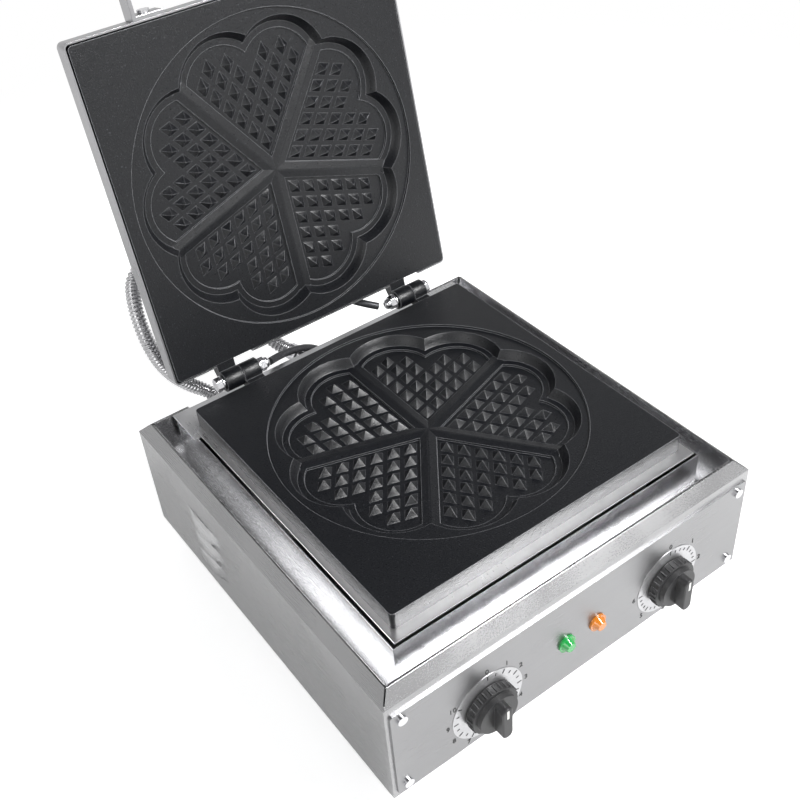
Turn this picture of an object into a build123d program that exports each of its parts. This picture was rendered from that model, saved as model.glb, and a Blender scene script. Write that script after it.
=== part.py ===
"""Waffle maker with heart shaped baking plates, standing open. Millimetres, X right, Y to the back, Z up."""
import math
import os

from build123d import *

os.makedirs("parts", exist_ok=True)

# Driving sizes. The baking plate sets the scale of everything round it.
plate_side = 250.0
plate_edge_t = 13.7
plate_corner_r = 3.0
pad_d = 236.0
pad_drop = 4.5
recess_d = 232.0
recess_depth = 2.0
flower_back = 2.75
lobe_ring_r = 72.4
lobe_r = 38.3
lobe_floor_r = 33.9
web_depth = 9.6
ridge_depth = 8.5
pocket_depth = 11.3
pocket_lobe_r = 29.2
divider_half = 6.0
stud_pitch = 12.7
stud_side = 9.0
stud_h = 5.1
running_gap = 0.05
sheet = 1.0

# Heights above the table, and the plan position of the plate's centre.
foot_h = 20.0
case_h = 102.0
rim_z = foot_h + case_h
plate_z = rim_z + 20.0
plate_y = -30.36
flower_y = plate_y + flower_back

# Round pieces shared by several nodes.
shaft_r = 3.0
conduit_r = 6.0
ferrule_r = 7.2
bore_r = 4.2

# Casing plan and its sloped shoulder.
case_half_x = 158.8
case_front = plate_y - 160.4
case_rear = plate_y + 163.8
case_y = (case_front + case_rear) / 2
case_d = case_rear - case_front
case_w = 2 * case_half_x
shoulder = 8.0
notch_left = -118.5
notch_right = 112.5
notch_z = rim_z - 15.0

# Hinge line and the open lid's plane: local x is X, local y runs from the hinge to the handle,
# local z leaves the baking face.
hinge_y = plate_y + plate_side / 2 + 14.8
hinge_z = plate_z - 0.5
lid_open = 102.0
face_w = -1.5
up = math.radians(180.0 - lid_open)
lid_plane = Plane(
    origin=(0, hinge_y, hinge_z),
    x_dir=(1, 0, 0),
    z_dir=(0, math.cos(up + math.pi / 2), math.sin(up + math.pi / 2)),
)
flower_u = hinge_y - flower_y
plate_u = hinge_y - plate_y
knuckle_r = 8.0
bolt_r = 3.0
nut_af = 10.0
hinge_left = -76.7
hinge_right = 86.3
lid_knuckles = [(hinge_left - 15.3, hinge_left - 0.3), (hinge_right - 14.8, hinge_right - 0.3)]
base_knuckles = [(hinge_left + 0.2, hinge_left + 14.7), (hinge_right + 0.2, hinge_right + 12.2)]


def lid_at(x, u, w):
    """World point of a point given on the lid plane."""
    return lid_plane.from_local_coords(Vector(x, u, w))


def turned(plane, degrees):
    """The plane turned about its own normal."""
    way = math.radians(degrees)
    x_dir = plane.x_dir * math.cos(way) + plane.y_dir * math.sin(way)
    return Plane(origin=plane.origin, x_dir=x_dir, z_dir=plane.z_dir)


def across(x, y, z):
    """Plane at a point, facing +X."""
    return Plane(origin=(x, y, z), x_dir=(0, 1, 0), z_dir=(1, 0, 0))


# One pointed stud of the waffle grid, on a diamond base whose sides follow the heart's two dividers.
half_long = stud_side * math.cos(math.radians(36))
half_short = stud_side * math.sin(math.radians(36))
with BuildPart() as stud:
    with BuildSketch():
        Polygon((half_long, 0), (0, half_short), (-half_long, 0), (0, -half_short))
    with BuildSketch(Plane.XY.offset(stud_h)):
        Polygon((0.4, 0), (0, 0.3), (-0.4, 0), (0, -0.3))
    loft()

# Stud places in one heart, heart axis along +X, the flower's centre at the origin.
stud_places = []
row_step = stud_pitch * math.cos(math.radians(36))
side_step = stud_pitch * math.sin(math.radians(36))
for row in range(9):
    for k in range(row + 1):
        place_x = 22.2 + row * row_step
        place_y = (2 * k - row) * side_step
        lobe_dx = place_x - lobe_ring_r * math.cos(math.radians(18))
        lobe_dy = abs(place_y) - lobe_ring_r * math.sin(math.radians(18))
        inside_lobe = math.hypot(lobe_dx, lobe_dy) < pocket_lobe_r - 7.0
        behind_lobe = place_x < lobe_ring_r * math.cos(math.radians(18))
        if inside_lobe or (behind_lobe and row < 6):
            stud_places.append((place_x, place_y))


def baking_plate(base, edge_back, knuckle_z, knuckles, name):
    """One cast plate. base: plane at the flower's centre on the baking face, local +Y to the hinge."""
    slab_y = edge_back - plate_side / 2
    with BuildPart() as plate:
        with BuildSketch(base.offset(-plate_edge_t)):
            with Locations((0, slab_y)):
                RectangleRounded(plate_side, plate_side, plate_corner_r)
        extrude(amount=plate_edge_t)
        with BuildSketch(base.offset(-plate_edge_t - pad_drop)):
            Circle(pad_d / 2)
        extrude(amount=pad_drop + 1)
        for x0, x1 in knuckles:
            arm_low = -plate_edge_t + 0.6 if knuckle_z < 0 else -plate_edge_t + 1.6
            with BuildSketch(Plane(origin=base.from_local_coords((x0, 0, 0)), x_dir=base.y_dir, z_dir=base.x_dir)):
                with Locations((edge_back + 14.8, knuckle_z)):
                    Circle(knuckle_r)
                Polygon(
                    (edge_back - 2, -2.4), (edge_back + 14.8, -2.4),
                    (edge_back + 14.8 + 5.5, knuckle_z - 5.8),
                    (edge_back + 9.0, arm_low + 1.0), (edge_back - 2, arm_low),
                    align=None,
                )
            extrude(amount=x1 - x0)
            with BuildSketch(Plane(origin=base.from_local_coords((x0, 0, 0)), x_dir=base.y_dir, z_dir=base.x_dir)):
                with Locations((edge_back + 14.8, knuckle_z)):
                    Circle(bolt_r + running_gap)
            extrude(amount=x1 - x0, mode=Mode.SUBTRACT)
        with BuildSketch(base.offset(-recess_depth)):
            Circle(recess_d / 2)
        extrude(amount=recess_depth + 1, mode=Mode.SUBTRACT)
        wall_h = web_depth - recess_depth
        slope = (lobe_r - lobe_floor_r) / wall_h
        with BuildSketch(base.offset(-web_depth)):
            RegularPolygon(lobe_ring_r + 1, 10, rotation=0)
        extrude(amount=wall_h + 0.5, mode=Mode.SUBTRACT)
        for lobe in range(10):
            at = math.radians(36 * lobe)
            centre = (lobe_ring_r * math.cos(at), lobe_ring_r * math.sin(at), -web_depth)
            with Locations(Plane(origin=base.from_local_coords(centre), x_dir=base.x_dir, z_dir=base.z_dir)):
                Cone(lobe_floor_r, lobe_r + slope * 0.5, wall_h + 0.5,
                     align=(Align.CENTER, Align.CENTER, Align.MIN), mode=Mode.SUBTRACT)
        for heart in range(5):
            turn = turned(base, 54 + 72 * heart)
            lobe_x = lobe_ring_r * math.cos(math.radians(18))
            lobe_y = lobe_ring_r * math.sin(math.radians(18))
            foot = lobe_ring_r * math.cos(math.radians(18))
            foot_x = foot * math.cos(math.radians(36))
            foot_y = foot * math.sin(math.radians(36))
            point_x = divider_half / math.sin(math.radians(36))
            with BuildSketch(turn.offset(-pocket_depth)):
                with Locations((lobe_x, lobe_y), (lobe_x, -lobe_y)):
                    Circle(pocket_lobe_r)
                Polygon((0, 0), (foot_x, -foot_y), (lobe_x + 8, -lobe_y), (lobe_x + 8, lobe_y), (foot_x, foot_y),
                        align=None)
                Polygon((point_x, 0), (point_x + 160 * math.cos(math.radians(36)), 160 * math.sin(math.radians(36))),
                        (point_x + 160 * math.cos(math.radians(36)), -160 * math.sin(math.radians(36))),
                        align=None, mode=Mode.INTERSECT)
            extrude(amount=pocket_depth - web_depth + 0.5, mode=Mode.SUBTRACT)
        for divider in range(5):
            turn = turned(base, 18 + 72 * divider)
            with BuildSketch(Plane(origin=turn.origin, x_dir=turn.y_dir, z_dir=turn.x_dir)):
                Polygon((-divider_half, -web_depth - 0.3), (divider_half, -web_depth - 0.3),
                        (divider_half, -web_depth), (0.7, -ridge_depth), (-0.7, -ridge_depth),
                        (-divider_half, -web_depth), align=None)
            extrude(amount=97.5)
        studs = []
        for heart in range(5):
            turn = turned(base, 54 + 72 * heart).offset(-pocket_depth - 0.02)
            studs += [turn.location * Pos(x, y, 0) * stud.part for x, y in stud_places]
        add(studs)
        with BuildSketch(base.offset(-plate_edge_t - pad_drop)):
            Circle(element_r + element_tube_r + 0.3)
            Circle(element_r - element_tube_r - 0.3, mode=Mode.SUBTRACT)
        extrude(amount=3.2, mode=Mode.SUBTRACT)
    plate.part.label = name
    return plate.part


# Heating elements: a bent tube with two ends, pressed into the groove under each pad.
element_r = 80.0
element_tube_r = 3.9
element_gap_deg = 24.0

base_face = Plane(origin=(0, flower_y, plate_z), x_dir=(1, 0, 0), z_dir=(0, 0, 1))
lid_face = Plane(
    origin=lid_at(0, flower_u, face_w), x_dir=(-1, 0, 0),
    z_dir=(lid_plane.z_dir.X, lid_plane.z_dir.Y, lid_plane.z_dir.Z),
)
edge_back = plate_side / 2 - flower_back
lower_plate = baking_plate(base_face, edge_back, -0.5, base_knuckles, "lower_plate")
export_step(lower_plate, "parts/lower_plate.step")
flipped = [(-x1, -x0) for x0, x1 in lid_knuckles]
upper_plate = baking_plate(lid_face, edge_back, -face_w, flipped, "upper_plate")
export_step(upper_plate, "parts/upper_plate.step")


def heating_element(base, name):
    """Ring of tube lying in the groove under the pad, its two ends turned away from the plate."""
    start = math.radians(-90 + element_gap_deg / 2)
    ends = [(element_r * math.cos(start), element_r * math.sin(start)),
            (-element_r * math.cos(start), element_r * math.sin(start))]
    ring_z = -plate_edge_t - pad_drop - element_tube_r + 3.1
    with BuildPart() as element:
        level = base.offset(ring_z)
        start_plane = Plane(
            origin=level.from_local_coords((ends[0][0], ends[0][1], 0)),
            x_dir=level.z_dir,
            z_dir=level.from_local_coords((ends[0][0] + math.sin(start), ends[0][1] - math.cos(start), 0))
            - level.from_local_coords((ends[0][0], ends[0][1], 0)),
        )
        with BuildSketch(start_plane):
            Circle(element_tube_r)
        revolve(axis=Axis(level.origin, level.z_dir), revolution_arc=360 - element_gap_deg)
        for x, y in ends:
            with Locations(Plane(origin=level.from_local_coords((x, y, 0)), x_dir=level.x_dir, z_dir=level.z_dir)):
                Sphere(element_tube_r)
                Cylinder(element_tube_r, 19, align=(Align.CENTER, Align.CENTER, Align.MAX))
    element.part.label = name
    return element.part


export_step(heating_element(base_face, "lower_heating_element"), "parts/lower_heating_element.step")
export_step(heating_element(lid_face, "upper_heating_element"), "parts/upper_heating_element.step")

# Clamp plates that press the elements to the plates, and the insulation behind them.
clamp_top = -plate_edge_t - pad_drop - 2 * element_tube_r + 3.1


def clamp_plate(base, name):
    with BuildPart() as clamp:
        with BuildSketch(base.offset(clamp_top - 2.0)):
            Circle(96)
            end_x = element_r * math.sin(math.radians(element_gap_deg / 2))
            end_y = -element_r * math.cos(math.radians(element_gap_deg / 2))
            with Locations((end_x, end_y), (-end_x, end_y)):
                Circle(element_tube_r + 1.2, mode=Mode.SUBTRACT)
            with PolarLocations(58, 4, 45):
                Circle(3.1, mode=Mode.SUBTRACT)
        extrude(amount=2.0)
    clamp.part.label = name
    return clamp.part


def clamp_bolts(base, name):
    """Hexagon screws through the clamp plate, up to the pad's underside."""
    with BuildPart() as bolts:
        with BuildSketch(base.offset(clamp_top - 2.0 - 4.0)):
            with PolarLocations(58, 4, 45):
                RegularPolygon(5.0, 6, major_radius=False)
        extrude(amount=4.0)
        with BuildSketch(base.offset(clamp_top - 3.0)):
            with PolarLocations(58, 4, 45):
                Circle(3.0)
        extrude(amount=-plate_edge_t - pad_drop - clamp_top + 3.0)
    bolts.part.label = name
    return bolts.part


def insulation(base, thick, name):
    with BuildPart() as wool:
        with BuildSketch(base.offset(clamp_top - 6.5 - thick)):
            Rectangle(170, 170)
            end_x = element_r * math.sin(math.radians(element_gap_deg / 2))
            end_y = -element_r * math.cos(math.radians(element_gap_deg / 2))
            with Locations((end_x, end_y), (-end_x, end_y)):
                Circle(element_tube_r + 1.5, mode=Mode.SUBTRACT)
        extrude(amount=thick)
    wool.part.label = name
    return wool.part


export_step(clamp_plate(base_face, "lower_clamp_plate"), "parts/lower_clamp_plate.step")
export_step(clamp_plate(lid_face, "upper_clamp_plate"), "parts/upper_clamp_plate.step")
export_step(clamp_bolts(base_face, "lower_clamp_bolts"), "parts/lower_clamp_bolts.step")
export_step(clamp_bolts(lid_face, "upper_clamp_bolts"), "parts/upper_clamp_bolts.step")
export_step(insulation(base_face, 10, "lower_insulation"), "parts/lower_insulation.step")
export_step(insulation(lid_face, 5, "upper_insulation"), "parts/upper_insulation.step")

# Casing: one folded sheet box with sloped shoulders, louvres at both sides, open below and on top.
panel_top = rim_z - 16.0
louvre_y = plate_y + 72.0
louvre_len = 53.0
louvre_h = 10.5
louvre_out = 4.6
louvre_z = [rim_z - 33.5, rim_z - 51.5, rim_z - 69.5]
knob_z = foot_h + 36.0
thermostat_x = 82.0
timer_x = -82.0
lamp_z = foot_h + 42.0
conduit_a = (-77.0, case_rear, plate_z - 47.0)
conduit_b = (-8.0, case_rear, plate_z - 33.0)
with BuildPart() as casing:
    with BuildSketch(Plane.XY.offset(foot_h)):
        with Locations((0, case_y)):
            Rectangle(case_w, case_d)
    extrude(amount=case_h)
    chamfer(casing.faces().sort_by(Axis.Z)[-1].edges(), shoulder)
    with BuildSketch(Plane.XY.offset(foot_h - 1)):
        with Locations((0, case_y)):
            Rectangle(case_w - 2 * sheet, case_d - 2 * sheet)
    extrude(amount=case_h + 1 - shoulder - 0.4, mode=Mode.SUBTRACT)
    with BuildSketch(Plane.XY.offset(rim_z - shoulder - 0.4)):
        with Locations((0, case_y)):
            Rectangle(case_w - 2 * sheet, case_d - 2 * sheet)
    with BuildSketch(Plane.XY.offset(rim_z - 0.4)):
        with Locations((0, case_y)):
            Rectangle(case_w - 2 * sheet - 2 * shoulder, case_d - 2 * sheet - 2 * shoulder)
    loft(mode=Mode.SUBTRACT)
    with BuildSketch(Plane.XY.offset(rim_z - 2)):
        with Locations((0, case_y)):
            Rectangle(case_w - 2 * shoulder - 2.4, case_d - 2 * shoulder - 2.4)
    extrude(amount=5, mode=Mode.SUBTRACT)
    # lowered middle of the rear wall, behind the hinges
    with Locations(((notch_left + notch_right) / 2, case_rear - 6, notch_z)):
        Box(notch_right - notch_left, 20, 30, align=(Align.CENTER, Align.CENTER, Align.MIN), mode=Mode.SUBTRACT)
    # open corners of the folded shoulder
    for corner_x in (-1, 1):
        for corner_y in (-1, 1):
            at = (corner_x * (case_half_x - 4), case_y + corner_y * (case_d / 2 - 4), rim_z - 6.2)
            with Locations(Location(at, (0, 0, 45 * corner_x * corner_y))):
                Box(16, 0.9, 10, align=(Align.CENTER, Align.CENTER, Align.MIN), mode=Mode.SUBTRACT)
    # louvres: scoops pressed out of each side, deepest and open at their lower edge
    for side in (-1, 1):
        for z in louvre_z:
            for out, half, top, low, mode in (
                (0.0, louvre_len / 2, 0.0, louvre_h, Mode.ADD),
                (-sheet, louvre_len / 2 - 1.2, 1.2, louvre_h + 0.6, Mode.SUBTRACT),
            ):
                for level, bulge in ((z - top, 0.9), (z - low, louvre_out)):
                    origin = (side * (case_half_x - 0.3 + out), louvre_y, level)
                    with BuildSketch(Plane(origin=origin, x_dir=(0, 1, 0), z_dir=(0, 0, -1))):
                        with BuildLine():
                            ThreePointArc((-half, 0), (0, bulge * side), (half, 0))
                            Line((half, 0), (-half, 0))
                        make_face()
                loft(mode=mode)
    # round openings: shafts and lamps in the front, conduits and mains gland at the back
    with BuildSketch(Plane(origin=(0, case_front - 2, 0), x_dir=(1, 0, 0), z_dir=(0, -1, 0)).offset(-6)):
        with Locations((thermostat_x, knob_z), (timer_x, knob_z)):
            Circle(6.5)
        with Locations((-14, lamp_z), (14, lamp_z)):
            Circle(5.2)
    extrude(amount=8, mode=Mode.SUBTRACT)
    with BuildSketch(Plane(origin=(0, case_rear + 2, 0), x_dir=(-1, 0, 0), z_dir=(0, 1, 0)).offset(-6)):
        with Locations((-conduit_a[0], conduit_a[2]), (-conduit_b[0], conduit_b[2])):
            Circle(ferrule_r + 2.0)
        with Locations((-100, foot_h + 26)):
            Circle(9.2)
    extrude(amount=8, mode=Mode.SUBTRACT)
casing.part.label = "casing"
export_step(casing.part, "parts/casing.step")

# Bottom plate with rows of vent slots and foot holes.
foot_x = case_half_x - 26
foot_y = case_d / 2 - 26
with BuildPart() as bottom_plate:
    with BuildSketch(Plane.XY.offset(foot_h)):
        with Locations((0, case_y)):
            Rectangle(case_w - 2 * sheet - 0.2, case_d - 2 * sheet - 0.2)
            with GridLocations(2 * foot_x, 2 * foot_y, 2, 2):
                Circle(2.6, mode=Mode.SUBTRACT)
            with GridLocations(60, 26, 3, 5):
                SlotOverall(40, 5, mode=Mode.SUBTRACT)
    extrude(amount=1.2)
bottom_plate.part.label = "bottom_plate"
export_step(bottom_plate.part, "parts/bottom_plate.step")

# Drip tray: a channel all round the plate, its outer wall up to the rim.
tray_half_x = case_half_x - shoulder - 1.2
tray_front = case_front + shoulder + 1.2
tray_rear = case_rear - shoulder - 1.2
tray_floor = rim_z - 19.6
tray_in_half = 132.6
tray_in_front = plate_y - 136.0
tray_in_rear = plate_y + 148.0
tray_in_top = plate_z - plate_edge_t - 1.9
with BuildPart() as drip_tray:
    with BuildSketch(Plane.XY.offset(tray_floor)):
        with Locations((0, (tray_front + tray_rear) / 2)):
            Rectangle(2 * tray_half_x, tray_rear - tray_front)
        with Locations((0, (tray_in_front + tray_in_rear) / 2)):
            Rectangle(2 * tray_in_half - 1.6, tray_in_rear - tray_in_front - 1.6, mode=Mode.SUBTRACT)
    extrude(amount=0.8)
    with BuildSketch(Plane.XY.offset(tray_floor)):
        with Locations((0, (tray_front + tray_rear) / 2)):
            Rectangle(2 * tray_half_x, tray_rear - tray_front)
            Rectangle(2 * tray_half_x - 1.6, tray_rear - tray_front - 1.6, mode=Mode.SUBTRACT)
    extrude(amount=rim_z - 0.2 - tray_floor)
    with BuildSketch(Plane.XY.offset(tray_floor)):
        with Locations((0, (tray_in_front + tray_in_rear) / 2)):
            Rectangle(2 * tray_in_half, tray_in_rear - tray_in_front)
            Rectangle(2 * tray_in_half - 1.6, tray_in_rear - tray_in_front - 1.6, mode=Mode.SUBTRACT)
    extrude(amount=tray_in_top - tray_floor)
    with Locations(((notch_left + notch_right) / 2, tray_rear, notch_z)):
        Box(notch_right - notch_left, 6, 30, align=(Align.CENTER, Align.CENTER, Align.MIN), mode=Mode.SUBTRACT)
    for corner_x in (-1, 1):
        for corner_y, y_at in ((-1, tray_front), (1, tray_rear)):
            with Locations((corner_x * tray_half_x, y_at, rim_z - 6.2)):
                Box(2.4, 2.4, 10, align=(Align.CENTER, Align.CENTER, Align.MIN), mode=Mode.SUBTRACT)
drip_tray.part.label = "drip_tray"
export_step(drip_tray.part, "parts/drip_tray.step")

# Plate support: a folded sheet bridge on the bottom plate, its margin showing round the plate.
support_z = plate_z - plate_edge_t
with BuildPart() as plate_support:
    with BuildSketch(Plane.XY.offset(support_z - 1.2)):
        Polygon(
            (-130.0, plate_y - 133.8), (130.0, plate_y - 133.8), (130.0, plate_y + 110), (135.4, plate_y + 110),
            (135.4, plate_y + 146), (-135.4, plate_y + 146), (-135.4, plate_y + 110), (-130.0, plate_y + 110),
            align=None,
        )
        with Locations((0, flower_y)):
            Circle(pad_d / 2 + 1, mode=Mode.SUBTRACT)
    extrude(amount=1.2)
    for side in (-1, 1):
        with Locations((side * 123.0, plate_y, foot_h + 1.2)):
            Box(1.2, 200, support_z - 0.6 - foot_h - 1.2, align=(Align.CENTER, Align.CENTER, Align.MIN))
        with Locations((side * 127.0, plate_y, foot_h + 1.2)):
            Box(9.2, 200, 1.2, align=(Align.CENTER, Align.CENTER, Align.MIN))
plate_support.part.label = "plate_support"
export_step(plate_support.part, "parts/plate_support.step")

# Hinge pins: bolts, washers and cap nuts, the two sets turned opposite ways.
left_a = lid_knuckles[0][0]
left_b = base_knuckles[0][1]
right_a = lid_knuckles[1][0]
right_b = base_knuckles[1][1]
with BuildPart() as hinge_bolts:
    with BuildSketch(across(left_a - 1.9, hinge_y, hinge_z)):
        RegularPolygon(nut_af / 2, 6, major_radius=False)
    extrude(amount=-5.0)
    with BuildSketch(across(left_a - 1.9, hinge_y, hinge_z)):
        Circle(bolt_r)
    extrude(amount=left_b - left_a + 1.9 + 4.5)
    with BuildSketch(across(right_b + 1.6, hinge_y, hinge_z)):
        RegularPolygon(nut_af / 2, 6, major_radius=False)
    extrude(amount=3.4)
    with BuildSketch(across(right_b + 1.6, hinge_y, hinge_z)):
        Circle(bolt_r)
    extrude(amount=-(right_b - right_a + 1.6 + 4.5))
hinge_bolts.part.label = "hinge_bolts"
export_step(hinge_bolts.part, "parts/hinge_bolts.step")

with BuildPart() as hinge_washers:
    for x in (left_a - 1.9, left_b, right_a - 1.9, right_b):
        with BuildSketch(across(x, hinge_y, hinge_z)):
            Circle(6.2)
            Circle(bolt_r + 0.1, mode=Mode.SUBTRACT)
        extrude(amount=1.6)
hinge_washers.part.label = "hinge_washers"
export_step(hinge_washers.part, "parts/hinge_washers.step")

with BuildPart() as cap_nuts:
    for x, way in ((left_b + 1.6, 1), (right_a - 1.9, -1)):
        with BuildSketch(Plane(origin=(x, hinge_y, hinge_z), x_dir=(0, 1, 0), z_dir=(way, 0, 0))):
            RegularPolygon(nut_af / 2, 6, major_radius=False)
        extrude(amount=4.8)
        with BuildSketch(Plane(origin=(x + way * 4.8, hinge_y, hinge_z), x_dir=(0, 1, 0), z_dir=(way, 0, 0))):
            Circle(4.4)
        extrude(amount=4.4)
        ends = cap_nuts.edges().filter_by(GeomType.CIRCLE)
        fillet([e for e in ends if abs(e.center().X - (x + way * 9.2)) < 0.01], 3.4)
        with BuildSketch(Plane(origin=(x, hinge_y, hinge_z), x_dir=(0, 1, 0), z_dir=(way, 0, 0))):
            Circle(bolt_r + 0.1)
        extrude(amount=4.4, mode=Mode.SUBTRACT)
cap_nuts.part.label = "cap_nuts"
export_step(cap_nuts.part, "parts/cap_nuts.step")

# Stay straps behind the plates: bent round bars, one from the left bolt down to the casing,
# one from the right bolt up to the lid.
strap_x = left_b + 1.6 + 11.5
with BuildPart() as base_stay:
    with BuildLine() as stay_path:
        Spline((strap_x + 1, hinge_y + 6, hinge_z - 6), (-30, hinge_y + 13, hinge_z - 11),
               (2, hinge_y + 18, hinge_z - 26), (10, hinge_y + 19, hinge_z - 40))
    with BuildSketch(Plane(origin=stay_path.line @ 0, z_dir=stay_path.line % 0)):
        Circle(3.0)
    sweep()
base_stay.part.label = "base_stay"
export_step(base_stay.part, "parts/base_stay.step")
with BuildPart() as lid_stay:
    with BuildLine() as lid_stay_path:
        Spline((right_a - 13.5, hinge_y + 6.5, hinge_z - 3), (46, hinge_y + 15, hinge_z + 2),
               lid_at(34, 14, -26), lid_at(28, 22, -30))
    with BuildSketch(Plane(origin=lid_stay_path.line @ 0, z_dir=lid_stay_path.line % 0)):
        Circle(3.0)
    sweep()
lid_stay.part.label = "lid_stay"
export_step(lid_stay.part, "parts/lid_stay.step")

# Lid cover: a folded hood round the upper plate, with the same sloped shoulder as the casing.
hood_half_x = plate_side / 2 + 2.2
hood_u0 = plate_u - plate_side / 2 - 2.2
hood_u1 = plate_u + plate_side / 2 + 2.2
hood_side = 13.5
hood_deep = 41.0
hood_in = hood_deep - hood_side
hood_mid = (hood_u0 + hood_u1) / 2
hood_len = hood_u1 - hood_u0
ferrule_a = Plane(origin=conduit_a, x_dir=(1, 0, 0), z_dir=(-0.25, 1, 0.0))
ferrule_b = Plane(origin=conduit_b, x_dir=(1, 0, 0), z_dir=(-0.5, 0.85, 0.30))
back_w = face_w - 0.6 - hood_deep - 2.0
lid_port_a = lid_at(-96, 84, back_w)
lid_port_b = lid_at(40, 84, back_w)
away = -lid_plane.z_dir
with BuildPart() as lid_cover:
    with BuildSketch(lid_plane.offset(face_w - 0.6)):
        with Locations((0, hood_mid)):
            RectangleRounded(2 * hood_half_x, hood_len, 4.0)
    extrude(amount=-hood_side)
    with BuildSketch(lid_plane.offset(face_w - 0.6 - hood_side)):
        with Locations((0, hood_mid)):
            RectangleRounded(2 * hood_half_x, hood_len, 4.0)
    with BuildSketch(lid_plane.offset(face_w - 2.6 - hood_deep)):
        with Locations((0, hood_mid)):
            RectangleRounded(2 * hood_half_x - 2 * hood_in, hood_len - 2 * hood_in, 1.5)
    loft()
    with BuildSketch(lid_plane.offset(face_w)):
        with Locations((0, hood_mid)):
            RectangleRounded(2 * hood_half_x - 2.4, hood_len - 2.4, 2.8)
    extrude(amount=-hood_side - 0.6, mode=Mode.SUBTRACT)
    with BuildSketch(lid_plane.offset(face_w - hood_side - 0.5)):
        with Locations((0, hood_mid)):
            RectangleRounded(2 * hood_half_x - 2.4, hood_len - 2.4, 2.8)
    with BuildSketch(lid_plane.offset(face_w - hood_deep - 1.4)):
        with Locations((0, hood_mid)):
            RectangleRounded(2 * hood_half_x - 2.4 - 2 * hood_in, hood_len - 2.4 - 2 * hood_in, 1.0)
    loft(mode=Mode.SUBTRACT)
    for x0, x1 in lid_knuckles + base_knuckles:
        with BuildSketch(lid_plane.offset(face_w + 1)):
            with Locations(((x0 + x1) / 2, hood_u0 + 1)):
                Rectangle(x1 - x0 + 2, 8)
        extrude(amount=-hood_side - 1, mode=Mode.SUBTRACT)
    for port in (lid_port_a, lid_port_b):
        with BuildSketch(Plane(origin=port, x_dir=(1, 0, 0), z_dir=away).offset(-5)):
            Circle(ferrule_r + 0.1)
        extrude(amount=8, mode=Mode.SUBTRACT)
lid_cover.part.label = "lid_cover"
export_step(lid_cover.part, "parts/lid_cover.step")

# Handle: two flat arms off the cover's front wall carrying a round heat proof grip.
grip_u = hood_u1 + 46.0
grip_w = face_w - 8.0
grip_half = 74.0
with BuildPart() as handle_arms:
    for side in (-1, 1):
        with BuildSketch(Plane(origin=lid_at(side * grip_half, 0, 0), x_dir=lid_plane.y_dir, z_dir=(1, 0, 0))):
            with Locations((hood_u1 + 23, grip_w)):
                Rectangle(46, 14)
            with Locations((grip_u, grip_w)):
                Circle(9)
            with Locations((grip_u, grip_w)):
                Circle(3.1, mode=Mode.SUBTRACT)
        extrude(amount=3 * side)
        origin = lid_at(side * grip_half, hood_u1, grip_w)
        with BuildSketch(Plane(origin=origin, x_dir=(1, 0, 0), z_dir=lid_plane.y_dir)):
            with Locations((-side * 8.5, 0)):
                Rectangle(23, 14)
                Circle(2.6, mode=Mode.SUBTRACT)
        extrude(amount=3)
handle_arms.part.label = "handle_arms"
export_step(handle_arms.part, "parts/handle_arms.step")

grip_axis = Plane(origin=lid_at(-grip_half, grip_u, grip_w), x_dir=lid_plane.y_dir, z_dir=(1, 0, 0))
with BuildPart() as handle_grip:
    with BuildSketch(grip_axis):
        Circle(14)
        Circle(3.1, mode=Mode.SUBTRACT)
    extrude(amount=2 * grip_half)
    chamfer(handle_grip.edges().filter_by(GeomType.CIRCLE).sort_by(SortBy.RADIUS)[-2:], 2.5)
handle_grip.part.label = "handle_grip"
export_step(handle_grip.part, "parts/handle_grip.step")

with BuildPart() as handle_rod:
    with BuildSketch(grip_axis.offset(-3)):
        Circle(3.0)
    extrude(amount=2 * grip_half + 6)
    for offset, way in ((-3, -1), (2 * grip_half + 3, 1)):
        with BuildSketch(grip_axis.offset(offset)):
            RegularPolygon(nut_af / 2, 6, major_radius=False)
        extrude(amount=5 * way)
handle_rod.part.label = "handle_rod"
export_step(handle_rod.part, "parts/handle_rod.step")

with BuildPart() as handle_screws:
    for side in (-1, 1):
        origin = lid_at(side * (grip_half - 8.5), hood_u1 + 3, grip_w)
        with BuildSketch(Plane(origin=origin, x_dir=(1, 0, 0), z_dir=lid_plane.y_dir)):
            Circle(4.4)
        extrude(amount=2.4)
        origin = lid_at(side * (grip_half - 8.5), hood_u1, grip_w)
        with BuildSketch(Plane(origin=origin, x_dir=(1, 0, 0), z_dir=lid_plane.y_dir)):
            Circle(2.5)
        extrude(amount=3)
handle_screws.part.label = "handle_screws"
export_step(handle_screws.part, "parts/handle_screws.step")

# Control panel on the front wall, with two knobs, their dial rings and two lamps.
panel_y = case_front - 1.6
panel_bottom = foot_h + 4.0
front = Plane(origin=(0, case_front, 0), x_dir=(1, 0, 0), z_dir=(0, -1, 0))
panel_mid = (panel_top + panel_bottom) / 2
with BuildPart() as control_panel:
    with BuildSketch(front):
        with Locations((0, panel_mid)):
            RectangleRounded(case_w - 6, panel_top - panel_bottom, 2.0)
        with Locations((thermostat_x, knob_z), (timer_x, knob_z)):
            Circle(6.5, mode=Mode.SUBTRACT)
        with Locations((-14, lamp_z), (14, lamp_z)):
            Circle(5.2, mode=Mode.SUBTRACT)
        with Locations((0, panel_mid)):
            with GridLocations(case_w - 22, panel_top - panel_bottom - 14, 2, 2):
                Circle(2.1, mode=Mode.SUBTRACT)
    extrude(amount=1.6)
control_panel.part.label = "control_panel"
export_step(control_panel.part, "parts/control_panel.step")

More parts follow.
